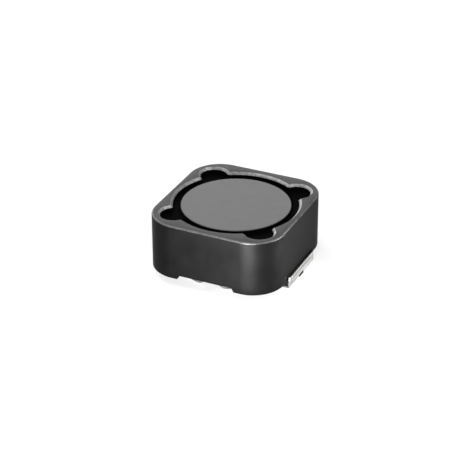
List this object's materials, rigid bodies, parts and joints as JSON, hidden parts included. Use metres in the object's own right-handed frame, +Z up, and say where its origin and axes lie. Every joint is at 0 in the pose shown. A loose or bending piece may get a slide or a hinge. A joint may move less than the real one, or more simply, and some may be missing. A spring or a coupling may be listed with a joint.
{
  "type": "shielded smd inductor",
  "caption": "Nearly square surface-mount power inductor: a wound ferrite drum potted inside a notched ferrite shield ring, on a moulded base with bent tinned terminals.",
  "frame": {"origin": "middle of the footprint, on the board plane under the terminal pads", "axes": "+Z up, away from the board; the terminals are at the two X ends; the leads come down at the -Y side"},
  "size_m": [0.0124, 0.0126, 0.0057],
  "materials": {
    "shield_ferrite": "satin ground ferrite",
    "drum_ferrite": "matte ground ferrite",
    "epoxy": "black potting",
    "wire": "enamelled copper, tinned ends",
    "base_plastic": "moulded black resin",
    "tinned_strip": "bright tin plate",
    "solder": "satin solder"
  },
  "bodies": {
    "root": {"shield_ring": "shield_ferrite", "gap_epoxy": "epoxy", "drum_core": "drum_ferrite", "coil_winding": "wire", "base": "base_plastic", "terminal_left": "tinned_strip", "terminal_right": "tinned_strip", "solder_left": "solder", "solder_right": "solder"}
  },
  "joints": []
}
